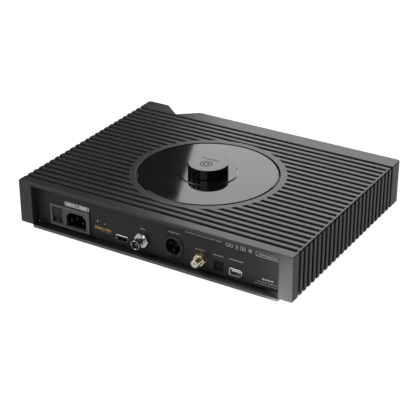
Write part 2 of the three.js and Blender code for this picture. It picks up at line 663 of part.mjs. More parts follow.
button.xs.forEach((x, i) => {
  const back = frontBoard.y[0] - button.travel - 0.2;
  const key = turnedY([
    [0, frontY + 0.2], [button.radius - 0.4, frontY + 0.2], [button.radius, frontY + 0.6],
    [button.radius, wallBack + gap], [button.radius + 1, wallBack + gap],
    [button.radius + 1, wallBack + 1.4], [2, wallBack + 1.4], [2, back], [0, back],
  ], x, controlHeight, 20);
  addPart(`button_${i + 1}`, key, anodised);
});

// Knurled wheel: a gear-like rim turned by the thumb.
function controlWheel() {
  const rim = new THREE.Shape();
  const teeth = 36;
  for (let i = 0; i < 2 * teeth; i += 1) {
    const angle = i * Math.PI / teeth;
    const radius = wheel.radius - (i % 2) * 0.6;
    const point = [notch.x + radius * Math.cos(angle), wheelY + radius * Math.sin(angle)];
    if (i === 0) rim.moveTo(...point);
    else rim.lineTo(...point);
  }
  return cut(prismZ(rim, wheel.low, wheel.high), pillar(2.1, notch.x, wheelY, 0, wheel.low + 9, 20));
}
addPart('control_wheel', controlWheel(), anodised);
addPart('wheel_encoder', join(
  block([notch.x - 6, notch.x + 6], [notchApexY + 2.4, notchApexY + 14], [baseTop + gap, wheel.low - 1.5]),
  pillar(1.8, notch.x, wheelY, wheel.low - 2, wheel.low + 8.5, 20),
), blackPlastic);

export default player;
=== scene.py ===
import bpy
import bmesh
import json
import math
from mathutils import Matrix, Vector


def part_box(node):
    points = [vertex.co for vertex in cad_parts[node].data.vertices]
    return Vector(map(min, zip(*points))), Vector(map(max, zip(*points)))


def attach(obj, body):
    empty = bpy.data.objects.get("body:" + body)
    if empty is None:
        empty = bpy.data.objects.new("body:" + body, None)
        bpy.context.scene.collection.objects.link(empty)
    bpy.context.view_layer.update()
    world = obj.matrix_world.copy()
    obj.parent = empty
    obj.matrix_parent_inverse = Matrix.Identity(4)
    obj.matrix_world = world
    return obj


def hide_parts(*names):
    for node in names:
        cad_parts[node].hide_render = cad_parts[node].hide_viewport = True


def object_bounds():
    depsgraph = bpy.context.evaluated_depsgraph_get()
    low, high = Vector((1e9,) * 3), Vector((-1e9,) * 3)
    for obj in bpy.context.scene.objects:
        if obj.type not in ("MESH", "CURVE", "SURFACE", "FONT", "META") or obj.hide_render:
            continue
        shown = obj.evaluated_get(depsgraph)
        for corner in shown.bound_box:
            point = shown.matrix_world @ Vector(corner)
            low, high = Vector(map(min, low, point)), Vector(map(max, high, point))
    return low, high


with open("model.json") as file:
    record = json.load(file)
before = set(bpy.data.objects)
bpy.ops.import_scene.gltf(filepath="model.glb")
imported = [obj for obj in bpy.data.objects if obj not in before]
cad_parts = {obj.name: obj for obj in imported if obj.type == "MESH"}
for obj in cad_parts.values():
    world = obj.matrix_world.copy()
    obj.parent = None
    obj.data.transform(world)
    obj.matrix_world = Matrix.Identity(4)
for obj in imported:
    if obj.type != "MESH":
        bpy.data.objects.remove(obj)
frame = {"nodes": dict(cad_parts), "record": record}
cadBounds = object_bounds()
record = frame["record"]
mm = 0.001
bodyOf = {node: body for body, nodes in record["behaviour"]["bodies"].items() for node in nodes}


def low(node):
    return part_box(node)[0]


def high(node):
    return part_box(node)[1]


def middle(node):
    return (low(node) + high(node)) / 2


def size(node):
    return high(node) - low(node)


print("frame loaded:", len(frame["nodes"]), "nodes")

# camera, floor and lights

viewpoint = {"azimuth": 210.97, "elevation": 27.38, "distance": 1.2595, "lens": 108.7,
             "offset": (-0.01665, 0.03502, -0.00105)}


def directionFrom(azimuth, elevation):
    a = math.radians(azimuth)
    e = math.radians(elevation)
    return Vector((math.sin(a) * math.cos(e), -math.cos(a) * math.cos(e), math.sin(e)))


def makeCamera():
    data = bpy.data.cameras.new("camera")
    data.lens = viewpoint["lens"]
    data.sensor_width = 36
    camera = bpy.data.objects.new("camera", data)
    aim = (cadBounds[0] + cadBounds[1]) / 2 + Vector(viewpoint["offset"])
    back = directionFrom(viewpoint["azimuth"], viewpoint["elevation"])
    camera.location = aim + back * viewpoint["distance"]
    camera.rotation_euler = (-back).to_track_quat("-Z", "Y").to_euler()
    bpy.context.scene.collection.objects.link(camera)
    bpy.context.scene.camera = camera


makeCamera()

studio = {
    "world": 0.05,
    "softbox": {"from": (1.019, -1.692, 1.013), "right": (-0.857, -0.515, 0.0), "up": (-0.224, 0.373, 0.9),
                "edge": ((-0.0414, -0.0813), (-0.0857, 0.0823)), "width": 1.1, "height": 0.9, "lift": 0.2,
                "radiance": 2.7},
    "rearFill": {"azimuth": 185, "elevation": 28, "distance": 1.6, "width": 1.0, "height": 0.5,
                 "radiance": 2.4},
    "frontFill": {"azimuth": 350, "elevation": 12, "distance": 1.6, "width": 1.2, "height": 0.6,
                  "radiance": 3.6},
    "edgeFill": {"azimuth": 122, "elevation": 44, "distance": 1.5, "width": 1.2, "height": 0.8,
                 "radiance": 3.3},
    "bounceCard": {"place": (-0.13, 0.163, 0.0005), "along": (0.438, 0.899, 0), "width": 0.03,
                   "height": 0.11, "radiance": 4.2},
    "floor": {"half": 6.0, "level": -0.0002, "paint": 0.25, "glow": 1.0, "reflected": 0.42},
}


def areaLight(name, place, toward, up, width, height, radiance):
    data = bpy.data.lights.new(name, "AREA")
    data.shape = "RECTANGLE"
    data.size = width
    data.size_y = height
    data.energy = radiance * math.pi * width * height
    lamp = bpy.data.objects.new(name, data)
    back = -Vector(toward).normalized()
    side = Vector(up).cross(back).normalized()
    turn = Matrix((side, back.cross(side), back)).transposed()
    lamp.matrix_world = Matrix.Translation(place) @ turn.to_4x4()
    bpy.context.scene.collection.objects.link(lamp)
    return lamp


def makeSoftbox():
    box = studio["softbox"]
    place = Vector(box["from"])
    right = Vector(box["right"])
    up = Vector(box["up"])
    lower, upper = [place + right * a + up * b for a, b in box["edge"]]
    along = (upper - lower).normalized()
    inward = -up.cross(right).normalized()
    across = along.cross(inward)
    if across.dot(right) < 0:
        across = -across
    centre = lower + across * box["width"] / 2 + along * box["lift"]
    areaLight("softbox", centre, inward, along, box["width"], box["height"], box["radiance"])


def makeFill(name):
    fill = studio[name]
    back = directionFrom(fill["azimuth"], fill["elevation"])
    areaLight(name, back * fill["distance"], -back, (0, 0, 1), fill["width"], fill["height"],
              fill["radiance"])


def makeBounceCard():  # lies on the floor behind one rear corner
    card = studio["bounceCard"]
    areaLight("bounceCard", card["place"], (0, 0, 1), card["along"], card["width"], card["height"],
              card["radiance"])


def makeFloor():
    half = studio["floor"]["half"]
    mesh = bpy.data.meshes.new("floor")
    corners = [(-half, -half), (half, -half), (half, half), (-half, half)]
    mesh.from_pydata([(x, y, studio["floor"]["level"]) for x, y in corners], [], [(0, 1, 2, 3)])
    floor = bpy.data.objects.new("floor", mesh)
    bpy.context.scene.collection.objects.link(floor)
    material = bpy.data.materials.new("floor_white")
    material.use_nodes = True
    shader = material.node_tree.nodes["Principled BSDF"]
    paint = studio["floor"]["paint"]
    shader.inputs["Base Color"].default_value = (paint, paint, paint, 1)
    shader.inputs["Roughness"].default_value = 0.9
    shader.inputs["Specular IOR Level"].default_value = 0.0
    shader.inputs["Emission Color"].default_value = (1, 1, 1, 1)
    seen = material.node_tree.nodes.new("ShaderNodeMapRange")  # the floor shows white but lights the case less
    seen.inputs["To Min"].default_value = studio["floor"]["reflected"]
    seen.inputs["To Max"].default_value = studio["floor"]["glow"]
    direct = material.node_tree.nodes.new("ShaderNodeLightPath").outputs["Is Camera Ray"]
    material.node_tree.links.new(direct, seen.inputs["Value"])
    material.node_tree.links.new(seen.outputs["Result"], shader.inputs["Emission Strength"])
    mesh.materials.append(material)


def makeWorld():
    world = bpy.data.worlds.new("studio")
    bpy.context.scene.world = world
    world.use_nodes = True
    level = studio["world"]
    world.node_tree.nodes["Background"].inputs["Color"].default_value = (level, level, level, 1)
    bpy.context.scene.view_settings.view_transform = "Standard"


makeFloor()
makeWorld()
makeSoftbox()
makeFill("rearFill")
makeFill("edgeFill")
makeFill("frontFill")
makeBounceCard()
print("studio ready")

# finishes


def newFinish(name, look):
    material = bpy.data.materials.new(name)
    material.use_nodes = True
    nodes = material.node_tree.nodes
    links = material.node_tree.links
    shader = nodes["Principled BSDF"]
    place = nodes.new("ShaderNodeTexCoord").outputs["Object"]
    stretch = nodes.new("ShaderNodeMapping")
    stretch.inputs["Scale"].default_value = look.get("stretch", (1, 1, 1))
    links.new(place, stretch.inputs["Vector"])

    def noise(scale, detail):
        cloud = nodes.new("ShaderNodeTexNoise")
        cloud.inputs["Scale"].default_value = scale
        cloud.inputs["Detail"].default_value = detail
        links.new(stretch.outputs["Vector"], cloud.inputs["Vector"])
        return cloud.outputs["Fac"]

    def ramp(factor, first, last, start=0.3, end=0.7):
        colours = nodes.new("ShaderNodeValToRGB")
        colours.color_ramp.elements[0].position = start
        colours.color_ramp.elements[1].position = end
        colours.color_ramp.elements[0].color = (*first, 1)
        colours.color_ramp.elements[1].color = (*last, 1)
        links.new(factor, colours.inputs["Fac"])
        return colours.outputs["Color"]

    colour = ramp(noise(look["cloud"], 4), look["dark"], look["light"])
    if "edge" in look:  # paler along sharp edges: edge wear, and on the base paint a painted highlight
        blend = nodes.new("ShaderNodeMix")
        blend.data_type = "RGBA"
        pointed = nodes.new("ShaderNodeNewGeometry").outputs["Pointiness"]
        links.new(ramp(pointed, (0, 0, 0), (1, 1, 1), 0.52, 0.6), blend.inputs["Factor"])
        links.new(colour, blend.inputs["A"])
        blend.inputs["B"].default_value = (*look["edge"], 1)
        colour = blend.outputs["Result"]
    links.new(colour, shader.inputs["Base Color"])
    shader.inputs["Metallic"].default_value = look.get("metallic", 0)
    shader.inputs["Specular IOR Level"].default_value = look.get("specular", 0.5)
    shader.inputs["Coat Weight"].default_value = look.get("coat", 0)
    shader.inputs["Coat Roughness"].default_value = look.get("coatRoughness", 0.05)
    shader.inputs["Anisotropic"].default_value = look.get("anisotropic", 0)
    shader.inputs["Transmission Weight"].default_value = look.get("transmission", 0)
    grain = noise(look["grain"], 3)
    spread = nodes.new("ShaderNodeMapRange")
    spread.inputs["From Min"].default_value = 0.3
    spread.inputs["From Max"].default_value = 0.7
    spread.inputs["To Min"].default_value = look["roughness"][0]
    spread.inputs["To Max"].default_value = look["roughness"][1]
    links.new(grain, spread.inputs["Value"])
    links.new(spread.outputs["Result"], shader.inputs["Roughness"])
    if look.get("relief", 0) > 0:
        bump = nodes.new("ShaderNodeBump")
        bump.inputs["Strength"].default_value = look.get("reliefStrength", 0.5)
        bump.inputs["Distance"].default_value = look["relief"]
        links.new(grain, bump.inputs["Height"])
        links.new(bump.outputs["Normal"], shader.inputs["Normal"])
    return material


def grey(level):
    return level, level, level


finishLooks = {
    "caseAnodised": {"dark": (0.028, 0.028, 0.0282), "light": (0.037, 0.037, 0.0373), "cloud": 18,
                     "specular": 0.33, "roughness": (0.2, 0.27), "grain": 2600, "relief": 0.00001,
                     "edge": (0.075, 0.075, 0.0755)},
    # painted light: the edge colour paints a highlight along the base plate's edges, and the near-black base
    # colour is partly painted shade for the shaded top lip
    "basePaintShadeAndHighlight": {"dark": grey(0.008), "light": grey(0.013), "cloud": 60, "specular": 0.3,
                  "roughness": (0.3, 0.42), "grain": 2200, "relief": 0.00002, "edge": grey(0.2)},
    "panelPaint": {"dark": (0.026, 0.0245, 0.0245), "light": (0.034, 0.032, 0.032), "cloud": 40,
                   "specular": 0.3, "roughness": (0.4, 0.52), "grain": 2400, "relief": 0.00002},
    "printWhite": {"dark": grey(0.74), "light": grey(0.86), "cloud": 900, "roughness": (0.5, 0.6),
                   "grain": 3000},
    "printGrey": {"dark": grey(0.34), "light": grey(0.46), "cloud": 900, "roughness": (0.5, 0.6),
                  "grain": 3000},
    "markDark": {"dark": grey(0.03), "light": grey(0.045), "cloud": 900, "specular": 0.3,
                 "roughness": (0.45, 0.55), "grain": 3000},
    "markGrey": {"dark": grey(0.06), "light": grey(0.09), "cloud": 900, "roughness": (0.5, 0.6),
                 "grain": 3000},
    "printGold": {"dark": (0.3, 0.18, 0.05), "light": (0.52, 0.34, 0.13), "cloud": 420, "metallic": 0.4,
                  "roughness": (0.35, 0.5), "grain": 2500},
    "lidGloss": {"dark": (0.006, 0.006, 0.007), "light": (0.009, 0.009, 0.010), "cloud": 12,
                 "roughness": (0.045, 0.065), "grain": 60},
    "knobGloss": {"dark": grey(0.006), "light": grey(0.009), "cloud": 40,
                  "roughness": (0.04, 0.07), "grain": 300},
    "rimTurned": {"dark": (0.10, 0.10, 0.102), "light": (0.14, 0.14, 0.142), "cloud": 60, "metallic": 0.9,
                  "roughness": (0.2, 0.3), "grain": 1800, "anisotropic": 0.5},
    "keyMetal": {"dark": (0.10, 0.10, 0.102), "light": (0.13, 0.13, 0.132), "cloud": 80, "metallic": 0.85,
                 "roughness": (0.28, 0.36), "grain": 2200, "relief": 0.00001},
    "mouldedBlack": {"dark": grey(0.012), "light": grey(0.019), "cloud": 90,
                     "roughness": (0.38, 0.52), "grain": 1700, "relief": 0.00003},
    "inletBlack": {"dark": (0.046, 0.045, 0.045), "light": (0.06, 0.058, 0.058), "cloud": 90,
                   "roughness": (0.28, 0.38), "grain": 1900, "relief": 0.00002, "edge": grey(0.2)},
    "dullBlack": {"dark": (0.010, 0.009, 0.009), "light": (0.015, 0.014, 0.014), "cloud": 150,
                  "specular": 0.25, "roughness": (0.5, 0.62), "grain": 1800, "relief": 0.00002},
    # painted shade: a near-black, barely reflecting finish for the black beads that stand for the shadowed
    # seam along the case's top corners
    "paintedShadeBlack": {"dark": grey(0.003), "light": grey(0.005), "cloud": 150, "specular": 0.04,
                   "roughness": (0.8, 0.95), "grain": 1800, "relief": 0.00002},
    "ringEnamel": {"dark": grey(0.007), "light": grey(0.012), "cloud": 120,
                   "roughness": (0.16, 0.24), "grain": 1500, "relief": 0.00001},
    "footRubber": {"dark": grey(0.010), "light": grey(0.018), "cloud": 200,
                   "roughness": (0.75, 0.9), "grain": 1500, "relief": 0.00006},
    "brushedSteel": {"dark": (0.36, 0.36, 0.37), "light": (0.5, 0.5, 0.51), "cloud": 50, "metallic": 1,
                     "roughness": (0.25, 0.4), "grain": 400, "stretch": (1, 6, 6), "anisotropic": 0.4},
    "blackedSteel": {"dark": (0.05, 0.05, 0.052), "light": (0.085, 0.085, 0.088), "cloud": 300,
                     "metallic": 0.9, "roughness": (0.32, 0.45), "grain": 1500, "relief": 0.00002},
    "feltPad": {"dark": (0.02, 0.02, 0.022), "light": (0.05, 0.05, 0.052), "cloud": 1400,
                "roughness": (0.85, 0.98), "grain": 3500, "relief": 0.0001},
    "nickelPlate": {"dark": (0.7, 0.7, 0.71), "light": (0.82, 0.82, 0.83), "cloud": 200, "metallic": 1,
                    "roughness": (0.1, 0.18), "grain": 900},
    "paleGold": {"dark": (0.74, 0.66, 0.46), "light": (0.86, 0.8, 0.62), "cloud": 200, "metallic": 1,
                 "roughness": (0.2, 0.3), "grain": 900},
    "goldPlate": {"dark": (0.7, 0.45, 0.13), "light": (0.86, 0.6, 0.22), "cloud": 200, "metallic": 1,
                  "roughness": (0.12, 0.2), "grain": 900},
    "whiteInsulator": {"dark": (0.84, 0.83, 0.79), "light": (0.92, 0.91, 0.88), "cloud": 300,
                       "roughness": (0.3, 0.42), "grain": 1500, "relief": 0.00002},
    "boardMask": {"dark": (0.006, 0.05, 0.028), "light": (0.012, 0.085, 0.05), "cloud": 260,
                  "roughness": (0.3, 0.5), "grain": 700, "relief": 0.00005},
    "windingTape": {"dark": (0.22, 0.10, 0.03), "light": (0.36, 0.19, 0.07), "cloud": 240,
                    "roughness": (0.35, 0.55), "grain": 600, "stretch": (1, 1, 5), "relief": 0.0001},
    "lensGlass": {"dark": (0.10, 0.14, 0.30), "light": (0.16, 0.22, 0.42), "cloud": 300, "coat": 1.0,
                  "roughness": (0.03, 0.06), "grain": 400, "transmission": 0.4},
    "displayGlass": {"dark": (0.004, 0.004, 0.005), "light": (0.008, 0.008, 0.009), "cloud": 20,
                     "roughness": (0.03, 0.06), "grain": 120, "coat": 0.6},
}
finishes = {name: newFinish(name, look) for name, look in finishLooks.items()}

# every CAD node starts with a finish; pieces below replace the ones that need more shape
nodeFinish = {
    "caseAnodised": ["top_cover", "front_bezel"],
    "basePaintShadeAndHighlight": ["base_plate", "balanced_socket_shell"],
    "panelPaint": ["rear_panel"],
    "brushedSteel": ["base_screw_1", "base_screw_2", "base_screw_3", "base_screw_4", "knob_screw",
                     "spindle_motor", "transport_chassis", "guide_rail_1", "guide_rail_2", "lead_screw",
                     "sled_motor", "data_socket_shell"],
    "footRubber": ["foot_1", "foot_2", "foot_3", "foot_4", "damper_1", "damper_2", "damper_3"],
    "lidGloss": ["lid_disc", "lid_rim"],
    "knobGloss": ["lid_knob"],
    "rimTurned": ["control_wheel"],
    "keyMetal": ["button_1", "button_2", "button_3"],
    "mouldedBlack": ["clamp_retainer", "disc_clamp", "disc_well", "spindle_hub", "pickup_sled",
                     "power_rocker", "data_socket_tongue", "balanced_socket_insert", "display_module",
                     "wheel_encoder"],
    "dullBlack": ["optical_socket", "optical_shutter"],
    "inletBlack": ["inlet_body"],
    "lensGlass": ["pickup_lens"],
    "boardMask": ["main_board", "power_board", "rear_board", "front_board"],
    "windingTape": ["mains_transformer"],
    "nickelPlate": ["inlet_pin_1", "inlet_pin_2", "inlet_pin_3", "usb_shell", "bayonet_socket_body"],
    "goldPlate": ["phono_socket_body"],
    "whiteInsulator": ["usb_tongue", "bayonet_socket_insulator", "phono_socket_insulator"],
    "displayGlass": ["display_window"],
}
finishOf = {node: finish for finish, nodes in nodeFinish.items() for node in nodes}
for node, part in frame["nodes"].items():
    part.data.materials.clear()
    part.data.materials.append(finishes[finishOf[node]])
print("finishes ready:", len(finishes))

# mesh work


def addPiece(name, work, finish, node, replaced=(), smoothAngle=40):
    mesh = bpy.data.meshes.new(name)
    bmesh.ops.recalc_face_normals(work, faces=work.faces)
    work.to_mesh(mesh)
    work.free()
    mesh.shade_smooth()
    mesh.set_sharp_from_angle(angle=math.radians(smoothAngle))
    mesh.materials.append(finishes[finish])
    piece = bpy.data.objects.new(name, mesh)
    bpy.context.scene.collection.objects.link(piece)
    weighted = piece.modifiers.new("weighted normals", "WEIGHTED_NORMAL")
    weighted.keep_sharp = True
    weighted.weight = 60
    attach(piece, bodyOf[node])
    if replaced:
        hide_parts(*replaced)
    return piece


def softened(outline, radius, steps=3):  # rounds the corners of a closed outline that are off its axis
    points = []
    for i, point in enumerate(outline):
        corner = Vector(point)
        back = Vector(outline[i - 1]) - corner
        ahead = Vector(outline[(i + 1) % len(outline)]) - corner
        reach = min(radius, back.length * 0.45, ahead.length * 0.45)
        if corner.x < 1e-6:
            points.append(corner)
            continue
        first = corner + back.normalized() * reach
        last = corner + ahead.normalized() * reach
        for step in range(steps + 1):
            t = step / steps
            points.append(first * (1 - t) ** 2 + corner * 2 * t * (1 - t) + last * t ** 2)
    return points


def ringSection(inner, outer, bottom, top):
    return [(inner, bottom), (outer, bottom), (outer, top), (inner, top)]


def joinRings(work, first, last):
    for i in range(len(first)):
        j = (i + 1) % len(first)
        corners = list(dict.fromkeys((first[i], first[j], last[j], last[i])))
        if len(corners) > 2:
            work.faces.new(corners)


def spin(work, outline, place, axis="Z", steps=96, reach=None):  # turns a closed [radius, height] outline
    rings = []
    for radius, height in outline:
        ring = []
        for i in range(steps):
            angle = 2 * math.pi * i / steps
            r = reach(angle, radius, height) if reach else radius
            a, b = r * math.cos(angle), r * math.sin(angle)
            spot = (a, b, height) if axis == "Z" else (a, height, b)
            if radius < 1e-7 and ring:
                ring.append(ring[0])
            else:
                ring.append(work.verts.new(Vector(spot) + Vector(place)))
        rings.append(ring)
    for i, ring in enumerate(rings):
        joinRings(work, ring, rings[(i + 1) % len(rings)])


def loft(work, loops, closed=False):  # joins loops of equal length, capping the ends unless closed
    rings = [[work.verts.new(point) for point in loop] for loop in loops]
    for first, last in zip(rings, rings[1:]):
        joinRings(work, first, last)
    if closed:
        joinRings(work, rings[-1], rings[0])
    else:
        work.faces.new(rings[0])
        work.faces.new(rings[-1])


def addBlock(work, corner, opposite, edge=0.2 * mm, segments=2):
    lowCorner, highCorner = Vector(corner), Vector(opposite)
    span = highCorner - lowCorner
    shape = Matrix.Translation((lowCorner + highCorner) / 2) @ Matrix.Diagonal((*span, 1))
    made = bmesh.ops.create_cube(work, size=1, matrix=shape)["verts"]
    if edge > 0:
        edges = list({line for vert in made for line in vert.link_edges})
        bmesh.ops.bevel(work, geom=edges, offset=edge, segments=segments, profile=0.5, affect="EDGES")


def roundedRect(width, height, radius, steps=4, lowRadius=None):  # XZ outline about the origin
    radii = [radius, radius, lowRadius or radius, lowRadius or radius]
    signs = [(1, 1), (-1, 1), (-1, -1), (1, -1)]
    points = []
    for quarter, ((sx, sz), r) in enumerate(zip(signs, radii)):
        centre = Vector((sx * (width / 2 - r), sz * (height / 2 - r)))
        for step in range(steps + 1):
            angle = math.pi / 2 * (quarter + step / steps)
            points.append(centre + Vector((math.cos(angle), math.sin(angle))) * r)
    return points


def onRear(outline, place, y):  # an XZ outline set on a plane that faces the rear
    return [Vector((place[0] + a, y, place[1] + b)) for a, b in outline]


def nutReach(flats):
    def reach(angle, radius, height):
        side = flats / 2 / math.cos(angle % (math.pi / 3) - math.pi / 6)
        return min(radius, side)
    return reach


def nutOutline(flats, bore, rear, front, chamfer):  # limit radii that cut a curved chamfer on both faces
    corner = flats / math.sqrt(3)
    face = flats / 2 * 0.97
    rise = [(face + (corner * 1.01 - face) * t, chamfer * t * t) for t in (0, 0.35, 0.7, 1)]
    lower = [(radius, rear + depth) for radius, depth in rise]
    upper = [(radius, front - depth) for radius, depth in reversed(rise)]
    return [(bore, rear)] + lower + upper + [(bore, front)]


def edgeSoftened(node, width, name, angle=25):
    work = bmesh.new()
    work.from_mesh(frame["nodes"][node].data)
    bmesh.ops.remove_doubles(work, verts=work.verts, dist=2e-6)
    bmesh.ops.dissolve_limit(work, angle_limit=math.radians(1), verts=work.verts, edges=work.edges)
    sharp = [edge for edge in work.edges
             if len(edge.link_faces) == 2 and edge.calc_face_angle() > math.radians(angle)]
    bmesh.ops.bevel(work, geom=sharp, offset=width, segments=2, profile=0.5, affect="EDGES",
                    clamp_overlap=False, miter_outer="ARC")
    return addPiece(name, work, finishOf[node], node, [node], smoothAngle=50)


softEdges = {
    "top_cover": (0.42, "ribbed_cover"), "front_bezel": (0.4, "notched_bezel"),
    "base_plate": (0.4, "folded_base"), "rear_panel": (0.12, "socket_panel"),
    "disc_well": (0.25, "well_bowl"), "inlet_body": (0.25, "inlet_housing"),
    "power_rocker": (0.35, "rocker_key"), "transport_chassis": (0.2, "mechanism_plate"),
    "pickup_sled": (0.3, "sled_carriage"), "optical_socket": (0.2, "optical_housing"),
    "display_window": (0.3, "display_pane"),
}
for node, (width, name) in softEdges.items():
    edgeSoftened(node, width * mm, name)
print("shells softened")

# lid, knob and clamp


def standing(node):  # where a turned piece stands, seen from above
    return middle(node).x, middle(node).y, 0


def setOn(node):  # where a piece's axis lies, seen from the rear, as x and z
    return middle(node).x, middle(node).z


def addTurned(name, outline, finish, node, replaced=(), steps=96, reach=None):  # on an upright axis
    work = bmesh.new()
    spin(work, outline, standing(node), steps=steps, reach=reach)
    addPiece(name, work, finish, node, replaced)


def addTurnedRear(name, outline, finish, node, at, replaced=(), steps=96, reach=None):  # facing the rear
    work = bmesh.new()
    spin(work, outline, (at[0], 0, at[1]), axis="Y", steps=steps, reach=reach)
    addPiece(name, work, finish, node, replaced)


glossLid = {"boss": 30.6 * mm, "slope": 0.5 * mm, "step": 1.0 * mm, "bore": 2.4 * mm, "soft": 0.6 * mm}


def makeGlossLid():
    node = "lid_disc"
    rim, under, top = size(node).x / 2, low(node).z, high(node).z
    face = top - glossLid["step"]
    boss, bore = glossLid["boss"], glossLid["bore"]
    outline = softened([(bore, under), (rim, under), (rim, face), (boss, face),
                        (boss - glossLid["slope"], top), (bore, top)], glossLid["soft"], 4)
    addTurned("gloss_lid", outline, "lidGloss", node, [node], 224)


lidRing = {"inner": 66 * mm, "chamfer": 0.35 * mm, "clear": 0.3 * mm, "groove": 1.9 * mm, "soft": 0.1 * mm}


def makeLidRing():
    node = "lid_rim"
    rim, base, top = size(node).x / 2, low(node).z, high(node).z
    shelf = low("lid_disc").z - 0.3 * mm
    chamfer, inner = lidRing["chamfer"], lidRing["inner"]
    ledge = size("lid_disc").x / 2 + lidRing["clear"]
    mid = base + lidRing["groove"]
    outline = softened([
        (inner, base), (rim - 0.6 * mm, base), (rim, base + 0.6 * mm), (rim, mid),
        (rim - 0.35 * mm, mid + 0.2 * mm), (rim - 0.35 * mm, mid + 0.7 * mm), (rim, mid + 0.9 * mm),
        (rim, top - chamfer), (rim - chamfer, top), (ledge, top), (ledge, shelf),
        (inner, shelf)], lidRing["soft"], 2)
    addTurned("lid_ring", outline, "lidGloss", node, [node], 224)


liftKnob = {"bore": 2.0 * mm, "boreTop": 6 * mm, "edge": 0.7 * mm, "foot": 0.5 * mm, "sunk": 0.06 * mm,
            "marks": ((6.4 * mm, 1.2 * mm), (3.4 * mm, 1.1 * mm)), "bar": (20 * mm, 1.3 * mm),
            "markHigh": 0.045 * mm}


def makeLiftKnob():
    node = "lid_knob"
    rim, base, top = size(node).x / 2, low(node).z, high(node).z - liftKnob["sunk"]
    bore = liftKnob["bore"]
    inside = base + liftKnob["boreTop"]
    outline = softened([(bore, base), (rim - liftKnob["foot"], base), (rim, base + liftKnob["foot"]),
                        (rim, top), (0, top), (0, inside), (bore, inside)], liftKnob["edge"], 5)
    addTurned("lifting_knob", outline, "knobGloss", node, [node], 160)
    centre = standing(node)
    work = bmesh.new()
    raised = [top, top + liftKnob["markHigh"]]
    away = Vector((0, 4.0 * mm, 0))
    for radius, width in liftKnob["marks"]:
        spin(work, ringSection(radius - width, radius, *raised), Vector(centre) + away, steps=48)
    length, breadth = liftKnob["bar"]
    half = Vector((length / 2, breadth / 2, 0))
    spot = Vector(centre) - Vector((-1.5 * mm, 7.2 * mm, 0))
    addBlock(work, spot - half + Vector((0, 0, raised[0])), spot + half + Vector((0, 0, raised[1])), edge=0)
    addPiece("knob_mark", work, "markDark", node)


keeper = {"lip": 12 * mm, "wall": 18.4 * mm, "bore": 2.4 * mm, "thin": 0.6 * mm}


def makeClampKeeper():
    node = "clamp_retainer"
    rim, base, top = size(node).x / 2, low(node).z, high(node).z
    plate = 51 * mm
    thin = keeper["thin"]
    outline = softened([
        (keeper["bore"], plate), (keeper["wall"], plate), (keeper["wall"], base + thin),
        (keeper["lip"], base + thin), (keeper["lip"], base), (rim, base), (rim, top),
        (keeper["bore"], top)], 0.2 * mm, 2)
    addTurned("clamp_keeper", outline, "mouldedBlack", node, [node], 96)
    node = "disc_clamp"
    rim, base, top = size(node).x / 2, low(node).z, high(node).z
    outline = softened([
        (8.3 * mm, base + 0.3 * mm), (rim, base + 0.3 * mm), (rim, base + 1.1 * mm),
        (11.4 * mm, base + 1.1 * mm), (11.4 * mm, base + 2.4 * mm), (rim, base + 2.4 * mm), (rim, top),
        (0, top), (0, base + 2.1 * mm), (8.3 * mm, base + 2.1 * mm)], 0.15 * mm, 2)
    addTurned("clamp_puck", outline, "mouldedBlack", node, [node], 96)
    felt = softened(ringSection(10.4 * mm, rim - 0.8 * mm, base, base + 0.45 * mm), 0.12 * mm, 2)
    addTurned("clamp_felt", felt, "feltPad", node)


def screwWork(node, head, headHeight, shank, upward=True, socket=1.1 * mm, steps=48):
    base, top = low(node).z, high(node).z
    cross = nutReach(socket * 2)
    tip, face, turn = (top, base, 1) if upward else (base, top, -1)
    outline = softened([(socket * 1.16, face), (head, face), (head, face + turn * headHeight),
                        (shank, face + turn * headHeight), (shank, tip - turn * 0.6 * mm),
                        (shank * 0.6, tip), (0, tip), (0, face + turn * headHeight * 0.7),
                        (socket * 1.16, face + turn * headHeight * 0.7)],
                       0.12 * mm, 2)
    work = bmesh.new()
    spin(work, outline, standing(node), steps=steps,
         reach=lambda angle, radius, height: (
             cross(angle, radius, height) if radius < socket * 1.2 else radius))
    return work


def makeScrews():
    addPiece("knob_bolt", screwWork("knob_screw", 3.8 * mm, 1.6 * mm, 1.7 * mm), "brushedSteel",
             "knob_screw", ["knob_screw"])
    for i in range(1, 5):
        node = f"base_screw_{i}"
        addPiece(f"base_bolt_{i}", screwWork(node, 3.0 * mm, 1.7 * mm, 1.5 * mm), "blackedSteel", node,
                 [node])


makeGlossLid()
makeLidRing()
makeLiftKnob()
makeClampKeeper()
makeScrews()
print("lid finished")

# feet, hub and pickup

rubberFoot = {"pad": 11.5 * mm, "hollow": 8.2 * mm, "hollowDeep": 0.5 * mm, "step": 12.5 * mm,
              "soft": 0.45 * mm}


def makeFeet():
    for i in range(1, 5):
        node = f"foot_{i}"
        rim, base, top = size(node).x / 2, low(node).z, high(node).z
        outline = softened([
            (0, base + rubberFoot["hollowDeep"]), (rubberFoot["hollow"], base + rubberFoot["hollowDeep"]),
            (rubberFoot["hollow"] + 0.4 * mm, base), (rubberFoot["pad"], base),
            (rubberFoot["step"], base + 1.0 * mm), (rim, base + 1.6 * mm), (rim, base + 3.4 * mm),
            (rim - 0.4 * mm, base + 3.6 * mm), (rim - 0.4 * mm, base + 4.0 * mm), (rim, base + 4.2 * mm),
            (rim, top), (0, top)], rubberFoot["soft"], 3)
        addTurned(f"rubber_foot_{i}", outline, "footRubber", node, [node], 96)


turntable = {"shaft": 1.0 * mm, "flange": 15 * mm, "seat": 43 * mm, "cone": 7.3 * mm, "coneTop": 5 * mm,
             "pad": (9.6 * mm, 14.4 * mm), "balls": 3, "ball": 0.8 * mm}


